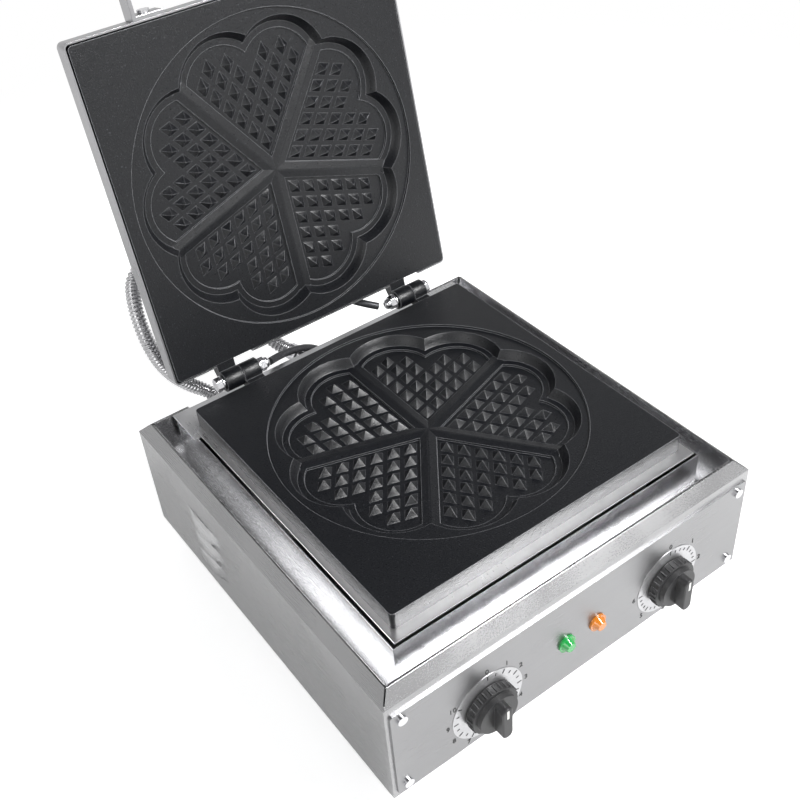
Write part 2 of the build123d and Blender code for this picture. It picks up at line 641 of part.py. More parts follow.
with BuildPart() as panel_screws:
    with BuildSketch(front.offset(1.6)):
        with Locations((0, panel_mid)):
            with GridLocations(case_w - 22, panel_top - panel_bottom - 14, 2, 2):
                Circle(3.6)
    extrude(amount=1.8)
    with BuildSketch(front):
        with Locations((0, panel_mid)):
            with GridLocations(case_w - 22, panel_top - panel_bottom - 14, 2, 2):
                Circle(2.0)
    extrude(amount=1.7)
panel_screws.part.label = "panel_screws"
export_step(panel_screws.part, "parts/panel_screws.step")

with BuildPart() as dial_rings:
    with BuildSketch(front.offset(1.6)):
        with Locations((thermostat_x, knob_z), (timer_x, knob_z)):
            Circle(29)
            Circle(7.0, mode=Mode.SUBTRACT)
    extrude(amount=0.4)
dial_rings.part.label = "dial_rings"
export_step(dial_rings.part, "parts/dial_rings.step")



def knob(x, name):
    """Round knob with a raised finger bar, bored for its shaft."""
    with BuildPart() as body:
        with BuildSketch(front.offset(2.6)):
            with Locations((x, knob_z)):
                Circle(19)
        extrude(amount=7, taper=4)
        with BuildSketch(front.offset(9.5)):
            with Locations((x, knob_z)):
                Circle(15.5)
        extrude(amount=4)
        with BuildSketch(front.offset(13.0)):
            with Locations((x, knob_z)):
                SlotOverall(30, 8.5, rotation=90)
        extrude(amount=9)
        fillet(body.faces().sort_by(Axis.Y)[0].edges(), 1.2)
        with BuildSketch(front.offset(2.6)):
            with Locations((x, knob_z)):
                Circle(shaft_r + running_gap)
        extrude(amount=12, mode=Mode.SUBTRACT)
        with BuildSketch(front.offset(21.6)):
            with Locations((x, knob_z + 9.5)):
                Rectangle(1.6, 8.0)
        extrude(amount=1, mode=Mode.SUBTRACT)
    body.part.label = name
    return body.part


def pointer(x, name):
    with BuildPart() as body:
        with BuildSketch(front.offset(21.6)):
            with Locations((x, knob_z + 9.5)):
                Rectangle(1.6, 8.0)
        extrude(amount=0.5)
    body.part.label = name
    return body.part


export_step(knob(thermostat_x, "thermostat_knob"), "parts/thermostat_knob.step")
export_step(knob(timer_x, "timer_knob"), "parts/timer_knob.step")
export_step(pointer(thermostat_x, "thermostat_pointer"), "parts/thermostat_pointer.step")
export_step(pointer(timer_x, "timer_pointer"), "parts/timer_pointer.step")

with BuildPart() as thermostat:
    with Locations((thermostat_x, case_front + sheet, knob_z)):
        Box(36, 30, 34, align=(Align.CENTER, Align.MIN, Align.CENTER))
    with BuildSketch(front.offset(-3)):
        with Locations((thermostat_x, knob_z)):
            Circle(shaft_r)
    extrude(amount=16)
    with BuildSketch(front.offset(-2)):
        with Locations((thermostat_x, knob_z)):
            Circle(5.5)
    extrude(amount=3.4)
thermostat.part.label = "thermostat"
export_step(thermostat.part, "parts/thermostat.step")

with BuildPart() as timer:
    with BuildSketch(front.offset(-sheet - 32)):
        with Locations((timer_x, knob_z)):
            Circle(21)
    extrude(amount=32)
    with BuildSketch(front.offset(-3)):
        with Locations((timer_x, knob_z)):
            Circle(shaft_r)
    extrude(amount=16)
    with BuildSketch(front.offset(-2)):
        with Locations((timer_x, knob_z)):
            Circle(5.5)
    extrude(amount=3.4)
timer.part.label = "timer"
export_step(timer.part, "parts/timer.step")


def lamp(x, name):
    with BuildPart() as body:
        with BuildSketch(front.offset(1.6)):
            with Locations((x, lamp_z)):
                Circle(7.0)
        extrude(amount=1.6)
        with Locations(Plane(origin=(x, case_front - 3.0, lamp_z), x_dir=(1, 0, 0), z_dir=(0, -1, 0))):
            Cone(5.6, 3.6, 4.2, align=(Align.CENTER, Align.CENTER, Align.MIN))
        with BuildSketch(front.offset(-9)):
            with Locations((x, lamp_z)):
                Circle(4.9)
        extrude(amount=11)
    body.part.label = name
    return body.part


export_step(lamp(-14, "power_lamp"), "parts/power_lamp.step")
export_step(lamp(14, "heat_lamp"), "parts/heat_lamp.step")

# Thermostat bulb under the pad, its thin line running down to the thermostat.
sensor_x = 104.0
sensor_z = plate_z - plate_edge_t - pad_drop - 2.5
with BuildPart() as sensor:
    with Locations(Location((sensor_x, flower_y + 2, sensor_z), (90, 0, 0))):
        Cylinder(2.3, 60)
    with BuildLine() as line:
        FilletPolyline((sensor_x, flower_y - 27.5, sensor_z), (sensor_x, flower_y - 52, sensor_z - 2),
                       (sensor_x - 4, plate_y - 108, foot_h + 68), (thermostat_x + 10, case_front + 20, foot_h + 70),
                       (thermostat_x + 10, case_front + 20, knob_z + 17), radius=6)
    with BuildSketch(Plane(origin=line.line @ 0, z_dir=line.line % 0)):
        Circle(1.0)
    sweep()
sensor.part.label = "temperature_sensor"
export_step(sensor.part, "parts/temperature_sensor.step")

# Terminal block on the bottom plate and the mains gland in the rear wall.
with BuildPart() as terminal_block:
    with Locations((100, plate_y + 118, foot_h + 1.2)):
        Box(30, 20, 16, align=(Align.CENTER, Align.CENTER, Align.MIN))
    with Locations((100, plate_y + 118, foot_h + 17.2)):
        with GridLocations(10, 0, 3, 1):
            Box(1.2, 20, 6, align=(Align.CENTER, Align.CENTER, Align.MIN))
terminal_block.part.label = "terminal_block"
export_step(terminal_block.part, "parts/terminal_block.step")

rear = Plane(origin=(0, case_rear, 0), x_dir=(-1, 0, 0), z_dir=(0, 1, 0))
with BuildPart() as mains_gland:
    with BuildSketch(rear):
        with Locations((-100, foot_h + 26)):
            RegularPolygon(12, 6, major_radius=False)
    extrude(amount=5)
    with BuildSketch(rear.offset(-12)):
        with Locations((-100, foot_h + 26)):
            Circle(9)
    extrude(amount=24)
    with BuildSketch(rear.offset(-sheet - 5)):
        with Locations((-100, foot_h + 26)):
            RegularPolygon(11.5, 6, major_radius=False)
    extrude(amount=5)
    with BuildSketch(rear.offset(-13)):
        with Locations((-100, foot_h + 26)):
            Circle(4.6)
    extrude(amount=26, mode=Mode.SUBTRACT)
mains_gland.part.label = "mains_gland"
export_step(mains_gland.part, "parts/mains_gland.step")

# Feet: rubber pads with a screw each.
with BuildPart() as feet:
    with Locations((0, case_y, 0)):
        with GridLocations(2 * foot_x, 2 * foot_y, 2, 2):
            Cone(12.5, 15.0, foot_h, align=(Align.CENTER, Align.CENTER, Align.MIN))
            Cylinder(5.0, 8, align=(Align.CENTER, Align.CENTER, Align.MIN), mode=Mode.SUBTRACT)
            Cylinder(2.6, foot_h, align=(Align.CENTER, Align.CENTER, Align.MIN), mode=Mode.SUBTRACT)
feet.part.label = "feet"
export_step(feet.part, "parts/feet.step")

with BuildPart() as foot_screws:
    with Locations((0, case_y, 5)):
        with GridLocations(2 * foot_x, 2 * foot_y, 2, 2):
            Cylinder(4.5, 3, align=(Align.CENTER, Align.CENTER, Align.MIN))
            Cylinder(2.5, foot_h + 1.2 + 3 - 5, align=(Align.CENTER, Align.CENTER, Align.MIN))
    with BuildSketch(Plane.XY.offset(foot_h + 1.2)):
        with Locations((0, case_y)):
            with GridLocations(2 * foot_x, 2 * foot_y, 2, 2):
                RegularPolygon(4.0, 6, major_radius=False)
    extrude(amount=3.2)
foot_screws.part.label = "foot_screws"
export_step(foot_screws.part, "parts/foot_screws.step")

# Conduit ferrules in the casing's rear wall and in the lid cover's back.
def ferrule(planes, wall_way, name):
    """Turned sleeves with a collar flat on the wall; the conduit's end meets the sleeve's end."""
    with BuildPart() as body:
        for plane in planes:
            with Locations(plane.offset(-5)):
                Cylinder(ferrule_r, 18, align=(Align.CENTER, Align.CENTER, Align.MIN))
            with Locations(Plane(origin=plane.origin, x_dir=(1, 0, 0), z_dir=wall_way)):
                Cylinder(ferrule_r + 3.4, 3.0, align=(Align.CENTER, Align.CENTER, Align.MIN))
            with Locations(plane.offset(-6)):
                Cylinder(bore_r, 20, align=(Align.CENTER, Align.CENTER, Align.MIN), mode=Mode.SUBTRACT)
    body.part.label = name
    return body.part


lid_port_planes = [Plane(origin=p, x_dir=(1, 0, 0), z_dir=away) for p in (lid_port_a, lid_port_b)]
export_step(ferrule([ferrule_a, ferrule_b], (0, 1, 0), "base_ferrules"), "parts/base_ferrules.step")
export_step(ferrule(lid_port_planes, away, "lid_ferrules"), "parts/lid_ferrules.step")


def conduit(points, name):
    """Metal conduit as a plain tube: straight runs joined by tangent arcs."""
    points = [Vector(*p) if isinstance(p, tuple) else p for p in points]
    radii = []
    for before, here, after in zip(points, points[1:], points[2:]):
        turn = math.radians((here - before).get_angle(after - here))
        run = min((here - before).length, (after - here).length)
        radii.append(0.45 * run / math.tan(turn / 2))
    with BuildPart() as hose:
        with BuildLine() as path:
            FilletPolyline(*points, radius=radii)
        wire = path.wires()[0]
        with BuildSketch(Plane(origin=wire @ 0, z_dir=wire % 0)):
            Circle(conduit_r)
        sweep(path=wire)
    hose.part.label = name
    print(name, "length", round(wire.length, 1), "volume", round(hose.part.volume),
          "section x length", round(math.pi * conduit_r ** 2 * wire.length))
    print("  points", [tuple(round(v, 1) for v in p) for p in points], "radii", [round(r, 1) for r in radii])
    return hose.part


a0 = ferrule_a.origin + ferrule_a.z_dir * 13
a1 = lid_port_a + away * 13
b0 = ferrule_b.origin + ferrule_b.z_dir * 13
b1 = lid_port_b + away * 13
points_a = [a0, a0 + ferrule_a.z_dir * 16, (-102, plate_y + 197, plate_z - 31),
            (-115, plate_y + 196, plate_z - 10), (-123, plate_y + 197, plate_z + 17), (-122, plate_y + 211, plate_z + 43),
            a1 + away * 22 + Vector(-14, 0, -8), a1 + away * 13, a1]
points_b = [b0, b0 + ferrule_b.z_dir * 16, (-21, plate_y + 203, plate_z - 19), (-5, plate_y + 218, plate_z - 13),
            (13, plate_y + 228, plate_z + 8), (28, plate_y + 238, plate_z + 36),
            b1 + away * 22 + Vector(-4, 0, -12), b1 + away * 13, b1]
export_step(conduit(points_a, "left_conduit"), "parts/left_conduit.step")
export_step(conduit(points_b, "right_conduit"), "parts/right_conduit.step")

# Screws that close the cover and the casing's rear edge.
with BuildPart() as cover_screws:
    for x, u in ((-80, hood_mid - 70), (80, hood_mid - 70), (-80, hood_mid + 70), (80, hood_mid + 70)):
        with Locations(Plane(origin=lid_at(x, u, back_w), x_dir=(1, 0, 0), z_dir=away)):
            Cylinder(3.6, 2.0, align=(Align.CENTER, Align.CENTER, Align.MIN))
cover_screws.part.label = "cover_screws"
export_step(cover_screws.part, "parts/cover_screws.step")
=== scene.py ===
import math

import bmesh
import bpy
from mathutils import Matrix, Vector


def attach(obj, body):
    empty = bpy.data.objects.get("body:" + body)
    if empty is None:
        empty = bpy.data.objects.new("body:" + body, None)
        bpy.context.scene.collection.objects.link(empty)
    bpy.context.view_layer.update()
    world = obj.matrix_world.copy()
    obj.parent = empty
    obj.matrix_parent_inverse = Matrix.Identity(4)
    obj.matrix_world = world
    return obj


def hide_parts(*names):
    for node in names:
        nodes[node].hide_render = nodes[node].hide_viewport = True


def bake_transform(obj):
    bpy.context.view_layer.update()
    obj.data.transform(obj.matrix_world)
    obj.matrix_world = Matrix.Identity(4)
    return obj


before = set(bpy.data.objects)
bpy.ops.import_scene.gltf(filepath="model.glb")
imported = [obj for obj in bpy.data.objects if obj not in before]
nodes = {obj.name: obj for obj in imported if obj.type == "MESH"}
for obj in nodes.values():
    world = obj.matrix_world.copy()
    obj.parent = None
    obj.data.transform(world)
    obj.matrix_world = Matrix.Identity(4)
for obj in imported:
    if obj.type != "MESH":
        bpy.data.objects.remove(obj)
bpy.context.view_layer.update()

# The machine's own numbers, in metres.
plateTop = Vector((0.0, -0.03036, 0.142))
panelFace = -0.19236
ringFace = -0.19276
dialZ = 0.056
dialX = {"timer": -0.082, "thermostat": 0.082}

view = {
    "azimuth": -33.11,
    "elevation": 40.04,
    "roll": -4.94,
    "lens": 50.0,
    "sensor": 36,
    "nearest": 0.01,
    "offset": (-0.34495, -0.49268, 0.52810),
}
studio = {
    "floorColour": (0.93, 0.93, 0.93, 1),
    "floorSize": 8.0,
    "floorDrop": 0.0002,
    "floorLift": 0.45,
    "floorInMetal": 0.05,
    "fadeFrom": 0.45,
    "fadeTo": 1.1,
    "skyHigh": (0.07, 0.07, 0.075, 1),
    "skyLow": (0.95, 0.95, 0.95, 1),
    "skyFrom": 0.50,
    "skyTo": 0.68,
    "skyLevel": 0.85,
    "lamps": [
        {"name": "keyLamp", "at": (0.62, -1.02, 1.44), "size": 0.50, "watts": 46.0},
        {"name": "fillLamp", "at": (-1.55, -0.75, 0.95), "size": 0.8, "watts": 6.0},
        {"name": "topLamp", "at": (-0.75, 0.75, 1.55), "size": 0.6, "watts": 9.0},
    ],
}


def deselectAll():
    for other in bpy.context.selected_objects:
        other.select_set(False)


def pick(piece):
    deselectAll()
    piece.select_set(True)
    bpy.context.view_layer.objects.active = piece


def settle(piece):
    pick(piece)
    bpy.ops.object.transform_apply(location=True, rotation=True, scale=True)


def applyModifier(piece, name):
    pick(piece)
    bpy.ops.object.modifier_apply(modifier=name)


def joined(parts, name):
    deselectAll()
    for part in parts:
        part.select_set(True)
    bpy.context.view_layer.objects.active = parts[0]
    bpy.ops.object.join()
    piece = bpy.context.object
    piece.name = name
    return piece


def aimed(back, up):
    side = up.cross(back).normalized()
    top = back.cross(side)
    return Matrix((side, top, back)).transposed()


# Camera, set where the photograph was taken from.
def makeCamera():
    turn = math.radians(view["azimuth"])
    lift = math.radians(view["elevation"])
    roll = math.radians(view["roll"])
    flatRight = Vector((math.cos(turn), math.sin(turn), 0))
    level = math.cos(lift)
    back = Vector((math.sin(turn) * level, -math.cos(turn) * level, math.sin(lift)))
    flatUp = back.cross(flatRight)
    right = flatRight * math.cos(roll) + flatUp * math.sin(roll)
    up = flatUp * math.cos(roll) - flatRight * math.sin(roll)
    data = bpy.data.cameras.new("photoCamera")
    data.lens = view["lens"]
    data.sensor_width = view["sensor"]
    data.clip_start = view["nearest"]
    camera = bpy.data.objects.new("photoCamera", data)
    placed = Matrix((right, up, back)).transposed().to_4x4()
    placed.translation = plateTop + Vector(view["offset"])
    camera.matrix_world = placed
    bpy.context.scene.collection.objects.link(camera)
    bpy.context.scene.camera = camera


makeCamera()
print("camera made")


# Conduits: ribbed metal hoses that cross the hinge. The points are those of the solids, in metres.
conduits = {
    "radius": 0.006,
    "ribPitch": 0.0031,
    "ribDepth": 0.0014,
    "ribFullness": 0.6,
    "stepsPerRib": 6,
    "sides": 28,
    "routeSteps": 24,
    "routeOrder": 3,
    "pathEvery": 4,
    "left": {
        "node": "left_conduit",
        "points": [
            (-0.0802, 0.14604, 0.095), (-0.084, 0.16154, 0.095), (-0.102, 0.16664, 0.111),
            (-0.115, 0.16564, 0.132), (-0.123, 0.16664, 0.159), (-0.122, 0.18064, 0.185),
            (-0.110, 0.20524, 0.199), (-0.096, 0.19644, 0.2089), (-0.096, 0.18374, 0.2116),
        ],
        "length": 0.178,
    },
    "right": {
        "node": "right_conduit",
        "points": [
            (-0.0143, 0.14414, 0.1128), (-0.0221, 0.15734, 0.1174), (-0.021, 0.17264, 0.123),
            (-0.005, 0.18764, 0.129), (0.013, 0.19764, 0.150), (0.028, 0.20764, 0.178),
            (0.036, 0.20524, 0.195), (0.040, 0.19644, 0.2089), (0.040, 0.18374, 0.2116),
        ],
        "length": 0.164,
    },
    "blendStart": (-0.03, 0.155, 0.108),
    "blendEnd": (-0.03, 0.190, 0.208),
}


def smoothLine(name, points):
    curve = bpy.data.curves.new(name + "Route", "CURVE")
    curve.dimensions = "3D"
    curve.resolution_u = conduits["routeSteps"]
    spline = curve.splines.new("NURBS")
    spline.points.add(len(points) - 1)
    for point, place in zip(spline.points, points):
        point.co = (*place, 1)
    spline.order_u = conduits["routeOrder"]
    spline.use_endpoint_u = True
    route = bpy.data.objects.new(name + "Route", curve)
    bpy.context.scene.collection.objects.link(route)
    bpy.context.view_layer.update()
    mesh = bpy.data.meshes.new_from_object(route)
    line = [vertex.co.copy() for vertex in mesh.vertices]
    bpy.data.objects.remove(route)
    bpy.data.meshes.remove(mesh)
    return line


def evenSteps(line, step):
    runs = [(b - a).length for a, b in zip(line, line[1:])]
    total = sum(runs)
    count = max(2, round(total / step))
    spots = []
    at = 0
    walked = 0.0
    for i in range(count + 1):
        goal = total * i / count
        while at < len(runs) - 1 and walked + runs[at] < goal:
            walked += runs[at]
            at += 1
        share = (goal - walked) / max(runs[at], 1e-9)
        spots.append(line[at].lerp(line[at + 1], min(share, 1.0)))
    return spots, total


def ribbedRings(work, spots):
    rings = []
    normal = None
    for i, spot in enumerate(spots):
        ahead = spots[min(i + 1, len(spots) - 1)] - spots[max(i - 1, 0)]
        ahead.normalize()
        if normal is None:
            normal = ahead.orthogonal().normalized()
        normal = (normal - ahead * normal.dot(ahead)).normalized()
        across = ahead.cross(normal)
        wave = 0.5 - 0.5 * math.cos(2 * math.pi * i / conduits["stepsPerRib"])
        radius = conduits["radius"] - conduits["ribDepth"] * (1 - wave ** conduits["ribFullness"])
        ring = []
        for j in range(conduits["sides"]):
            angle = 2 * math.pi * j / conduits["sides"]
            outward = normal * math.cos(angle) + across * math.sin(angle)
            ring.append(work.verts.new(spot + outward * radius))
        rings.append(ring)
    return rings


def makeConduit(side):
    s = conduits[side]
    name = side + "RibbedConduit"
    line = smoothLine(name, s["points"])
    spots, total = evenSteps(line, conduits["ribPitch"] / conduits["stepsPerRib"])
    work = bmesh.new()
    rings = ribbedRings(work, spots)
    for a, b in zip(rings, rings[1:]):
        for j in range(len(a)):
            k = (j + 1) % len(a)
            work.faces.new((a[j], a[k], b[k], b[j]))
    work.faces.new(list(reversed(rings[0])))
    work.faces.new(rings[-1])
    bmesh.ops.recalc_face_normals(work, faces=work.faces)
    mesh = bpy.data.meshes.new(name)
    work.to_mesh(mesh)
    work.free()
    for face in mesh.polygons:
        face.use_smooth = len(face.vertices) == 4
    piece = bpy.data.objects.new(name, mesh)
    bpy.context.scene.collection.objects.link(piece)
    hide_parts(s["node"])
    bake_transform(piece)
    print("conduit", side, "length", round(total, 4))
    return piece


conduitPieces = [makeConduit("left"), makeConduit("right")]


# Scales round the two dials: ticks on the ring and plain numbers on the panel.
scales = {
    "lift": 0.0001,
    "ink": 0.00018,
    "tickInner": 0.0245,
    "tickLong": 0.0036,
    "tickShort": 0.0022,
    "tickWide": 0.0007,
    "numberRing": 0.0325,
    "numberSize": 0.0062,
    "numberSteps": 4,
    "timer": {"sweep": 300, "steps": 10, "minor": 2},
    "thermostat": {"sweep": 270, "steps": 6, "minor": 4},
}


def dialPoint(dial, degrees, radius, face):
    # Zero is at the top, and the numbers rise clockwise as seen from the front.
    angle = math.radians(degrees)
    across = dialX[dial] + radius * math.sin(angle)
    height = dialZ + radius * math.cos(angle)
    return Vector((across, face - scales["lift"], height))


def makeTick(dial, degrees, long):
    at = dialPoint(dial, degrees, scales["tickInner"] + long / 2, ringFace)
    deselectAll()
    bpy.ops.mesh.primitive_plane_add(size=1, location=at)
    tick = bpy.context.object
    tick.scale = (scales["tickWide"], long, 1)
    tick.rotation_euler = (math.pi / 2, math.radians(degrees), 0)
    settle(tick)
    return tick


def makeNumber(dial, degrees, word):
    at = dialPoint(dial, degrees, scales["numberRing"], panelFace)
    deselectAll()
    bpy.ops.object.text_add(location=at, rotation=(math.pi / 2, 0, 0))
    text = bpy.context.object
    text.data.body = word
    text.data.size = scales["numberSize"]
    text.data.align_x = "CENTER"
    text.data.align_y = "CENTER"
    text.data.resolution_u = scales["numberSteps"]
    bpy.ops.object.convert(target="MESH")
    number = bpy.context.object
    settle(number)
    return number


def makeScale(dial):
    s = scales[dial]
    parts = []
    ticks = s["steps"] * s["minor"]
    for i in range(ticks + 1):
        long = scales["tickLong"] if i % s["minor"] == 0 else scales["tickShort"]
        parts.append(makeTick(dial, s["sweep"] * i / ticks, long))
    for i in range(s["steps"] + 1):
        parts.append(makeNumber(dial, s["sweep"] * i / s["steps"], str(i)))
    scale = joined(parts, dial + "Scale")
    thick = scale.modifiers.new("ink", "SOLIDIFY")
    thick.thickness = scales["ink"]
    thick.offset = 0
    applyModifier(scale, "ink")
    settle(scale)
    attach(scale, "base")
    return scale


# Finger ribs round each knob: one rib is modelled and then copied round the skirt.
ribs = {
    "count": 28,
    "sides": 12,
    "ring": 0.0186,
    "wide": 0.0016,
    "long": 0.0058,
    "back": -0.1969,
    "softness": 0.0004,
    "softSteps": 2,
}


def makeRib():
    deselectAll()
    bpy.ops.mesh.primitive_cylinder_add(
        vertices=ribs["sides"],
        radius=ribs["wide"] / 2,
        depth=ribs["long"],
        rotation=(math.pi / 2, 0, 0),
    )
    rib = bpy.context.object
    settle(rib)
    soft = rib.modifiers.new("soft", "BEVEL")
    soft.width = ribs["softness"]
    soft.segments = ribs["softSteps"]
    applyModifier(rib, "soft")
    return rib


def makeRibs(dial):
    master = makeRib()
    parts = [master]
    for i in range(ribs["count"] - 1):
        rib = master.copy()
        rib.data = master.data.copy()
        bpy.context.scene.collection.objects.link(rib)
        parts.append(rib)
    for i, rib in enumerate(parts):
        angle = 2 * math.pi * (i + 0.5) / ribs["count"]
        across = dialX[dial] + ribs["ring"] * math.sin(angle)
        rib.location = (across, ribs["back"], dialZ + ribs["ring"] * math.cos(angle))
        settle(rib)
    piece = joined(parts, dial + "KnobRibs")
    for face in piece.data.polygons:
        face.use_smooth = True
    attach(piece, dial + "_dial")
    return piece


scalePieces = [makeScale("timer"), makeScale("thermostat")]
ribPieces = [makeRibs("timer"), makeRibs("thermostat")]
print("dial scales and knob ribs made")


# Edges of the metal and of the coated castings catch the light, so they are rounded a little.
rounding = {"mergeWithin": 0.00002, "flatWithin": 0.5, "sharpFrom": 28, "segments": 2}
softEdges = {
    "lower_plate": 0.00045,
    "upper_plate": 0.00045,
    "casing": 0.0004,
    "drip_tray": 0.00025,
    "plate_support": 0.00025,
    "lid_cover": 0.0005,
    "control_panel": 0.0003,
    "hinge_bolts": 0.0003,
    "hinge_washers": 0.0002,
    "cap_nuts": 0.0003,
    "handle_arms": 0.0004,
    "handle_grip": 0.0010,
    "timer_knob": 0.0006,
    "thermostat_knob": 0.0006,
    "feet": 0.0008,
    "base_ferrules": 0.0003,
    "lid_ferrules": 0.0003,
}


def softenEdges(name, width):
    piece = nodes[name]
    weld = piece.modifiers.new("joined", "WELD")
    weld.merge_threshold = rounding["mergeWithin"]
    flat = piece.modifiers.new("flatFaces", "DECIMATE")
    flat.decimate_type = "DISSOLVE"
    flat.angle_limit = math.radians(rounding["flatWithin"])
    soft = piece.modifiers.new("softEdges", "BEVEL")
    soft.width = width
    soft.segments = rounding["segments"]
    soft.limit_method = "ANGLE"
    soft.angle_limit = math.radians(rounding["sharpFrom"])


for name, width in softEdges.items():
    softenEdges(name, width)
print("edges softened")


# Shader groups that several finishes share, and the numbers of their noise.
texture = {
    "lineDetail": 3.0,
    "lineRoughness": 0.6,
    "cloudScale": 14.0,
    "cloudDetail": 3.0,
    "lineFrom": 0.7,
    "lineTo": 1.3,
    "lineDepth": 0.0002,
    "gritDetail": 4.0,
    "gritRoughness": 0.65,
    "gritFull": 0.78,
    "gritFrom": 0.3,
    "gritTo": 0.7,
    "gritDepth": 0.0003,
    "edgeSamples": 6,
}


def newGroup(name, inputs, outputs):
    group = bpy.data.node_groups.new(name, "ShaderNodeTree")
    for label, kind, value in inputs:
        socket = group.interface.new_socket(label, in_out="INPUT", socket_type=kind)
        socket.default_value = value
    for label, kind in outputs:
        group.interface.new_socket(label, in_out="OUTPUT", socket_type=kind)
    return group, group.nodes.new("NodeGroupInput"), group.nodes.new("NodeGroupOutput")


def add(tree, kind, links=(), **values):
    node = tree.nodes.new(kind)
    for key, value in values.items():
        setattr(node, key, value)
    for socket, source in links:
        if isinstance(source, bpy.types.NodeSocket):
            tree.links.new(source, node.inputs[socket])
        else:
            node.inputs[socket].default_value = source
    return node


def floatOf(name, value):
    return (name, "NodeSocketFloat", value)


def brushLines():
    group, given, out = newGroup(
        "brushLines",
        [("Stretch", "NodeSocketVector", (1, 1, 1)), floatOf("Fineness", 900.0), floatOf("Low", 0.25),
         floatOf("High", 0.42)],
        [("Roughness", "NodeSocketFloat"), ("Height", "NodeSocketFloat"), ("Smear", "NodeSocketFloat")],
    )
    place = add(group, "ShaderNodeTexCoord").outputs["Object"]
    stretched = add(group, "ShaderNodeVectorMath", [(0, place), (1, given.outputs["Stretch"])],
                    operation="MULTIPLY")
    fine = add(group, "ShaderNodeTexNoise", [
        ("Vector", stretched.outputs[0]),
        ("Scale", given.outputs["Fineness"]),
        ("Detail", texture["lineDetail"]),
        ("Roughness", texture["lineRoughness"]),
    ])
    cloud = add(group, "ShaderNodeTexNoise", [
        ("Vector", place),
        ("Scale", texture["cloudScale"]),
        ("Detail", texture["cloudDetail"]),
    ])
    mixed = add(group, "ShaderNodeMath", [(0, fine.outputs["Fac"]), (1, cloud.outputs["Fac"])],
                operation="ADD")
    rough = add(group, "ShaderNodeMapRange", [
        ("Value", mixed.outputs[0]),
        ("From Min", texture["lineFrom"]),
        ("From Max", texture["lineTo"]),
        ("To Min", given.outputs["Low"]),
        ("To Max", given.outputs["High"]),
    ])
    group.links.new(rough.outputs["Result"], out.inputs["Roughness"])
    group.links.new(fine.outputs["Fac"], out.inputs["Height"])
    group.links.new(cloud.outputs["Fac"], out.inputs["Smear"])
    return group


def grainSpecks():
    group, given, out = newGroup(
        "grainSpecks",
        [floatOf("Fineness", 900.0), floatOf("Amount", 0.62)],
        [("Mask", "NodeSocketFloat"), ("Height", "NodeSocketFloat")],
    )
    place = add(group, "ShaderNodeTexCoord").outputs["Object"]
    grit = add(group, "ShaderNodeTexNoise", [
        ("Vector", place),
        ("Scale", given.outputs["Fineness"]),
        ("Detail", texture["gritDetail"]),
        ("Roughness", texture["gritRoughness"]),
    ])
    spots = add(group, "ShaderNodeMapRange", [
        ("Value", grit.outputs["Fac"]),
        ("From Min", given.outputs["Amount"]),
        ("From Max", texture["gritFull"]),
    ])
    group.links.new(spots.outputs["Result"], out.inputs["Mask"])
    group.links.new(grit.outputs["Fac"], out.inputs["Height"])
    return group


# Mask of the rounded edges, used to paint highlights along rims.
def edgeShine():
    group, given, out = newGroup(
        "edgeShine",
        [floatOf("Width", 0.0008), floatOf("Low", 0.004), floatOf("High", 0.10)],
        [("Mask", "NodeSocketFloat")],
    )
    soft = add(group, "ShaderNodeBevel", [("Radius", given.outputs["Width"])],
               samples=texture["edgeSamples"])
    shape = add(group, "ShaderNodeNewGeometry")
    same = add(group, "ShaderNodeVectorMath", [(0, soft.outputs[0]), (1, shape.outputs["Normal"])],
               operation="DOT_PRODUCT")
    apart = add(group, "ShaderNodeMath", [(0, 1.0), (1, same.outputs["Value"])], operation="SUBTRACT")
    mask = add(group, "ShaderNodeMapRange", [
        ("Value", apart.outputs[0]),
        ("From Min", given.outputs["Low"]),
        ("From Max", given.outputs["High"]),
    ])
    group.links.new(mask.outputs["Result"], out.inputs["Mask"])
    return group


brushGroup = brushLines()
speckGroup = grainSpecks()
edgeGroup = edgeShine()


def freshMaterial(name):
    material = bpy.data.materials.new(name)
    material.use_nodes = True
    tree = material.node_tree
    tree.nodes.clear()
    out = tree.nodes.new("ShaderNodeOutputMaterial")
    shader = tree.nodes.new("ShaderNodeBsdfPrincipled")
    tree.links.new(shader.outputs[0], out.inputs[0])
    return material, tree, shader


def useGroup(tree, group, **values):
    node = tree.nodes.new("ShaderNodeGroup")
    node.node_tree = group
    for key, value in values.items():
        node.inputs[key].default_value = value
    return node


def tinted(tree, factor, dark, light):
    mix = add(tree, "ShaderNodeMix", [("Factor", factor)], data_type="RGBA")
    mix.inputs["A"].default_value = (*dark, 1)
    mix.inputs["B"].default_value = (*light, 1)
    return mix.outputs["Result"]


def roughened(tree, shader, height, strength, depth):
    bump = add(tree, "ShaderNodeBump", [("Height", height), ("Strength", strength), ("Distance", depth)])
    tree.links.new(bump.outputs[0], shader.inputs["Normal"])


def brushedMetal(name, s):
    material, tree, shader = freshMaterial(name)
    shader.inputs["Metallic"].default_value = 1.0
    lines = useGroup(tree, brushGroup, Stretch=s["stretch"], Fineness=s["fineness"], Low=s["low"],
                     High=s["high"])
    colour = tinted(tree, lines.outputs["Smear"], s["dark"], s["light"])
    tree.links.new(colour, shader.inputs["Base Color"])
    tree.links.new(lines.outputs["Roughness"], shader.inputs["Roughness"])
    roughened(tree, shader, lines.outputs["Height"], s["bump"], texture["lineDepth"])
    return material


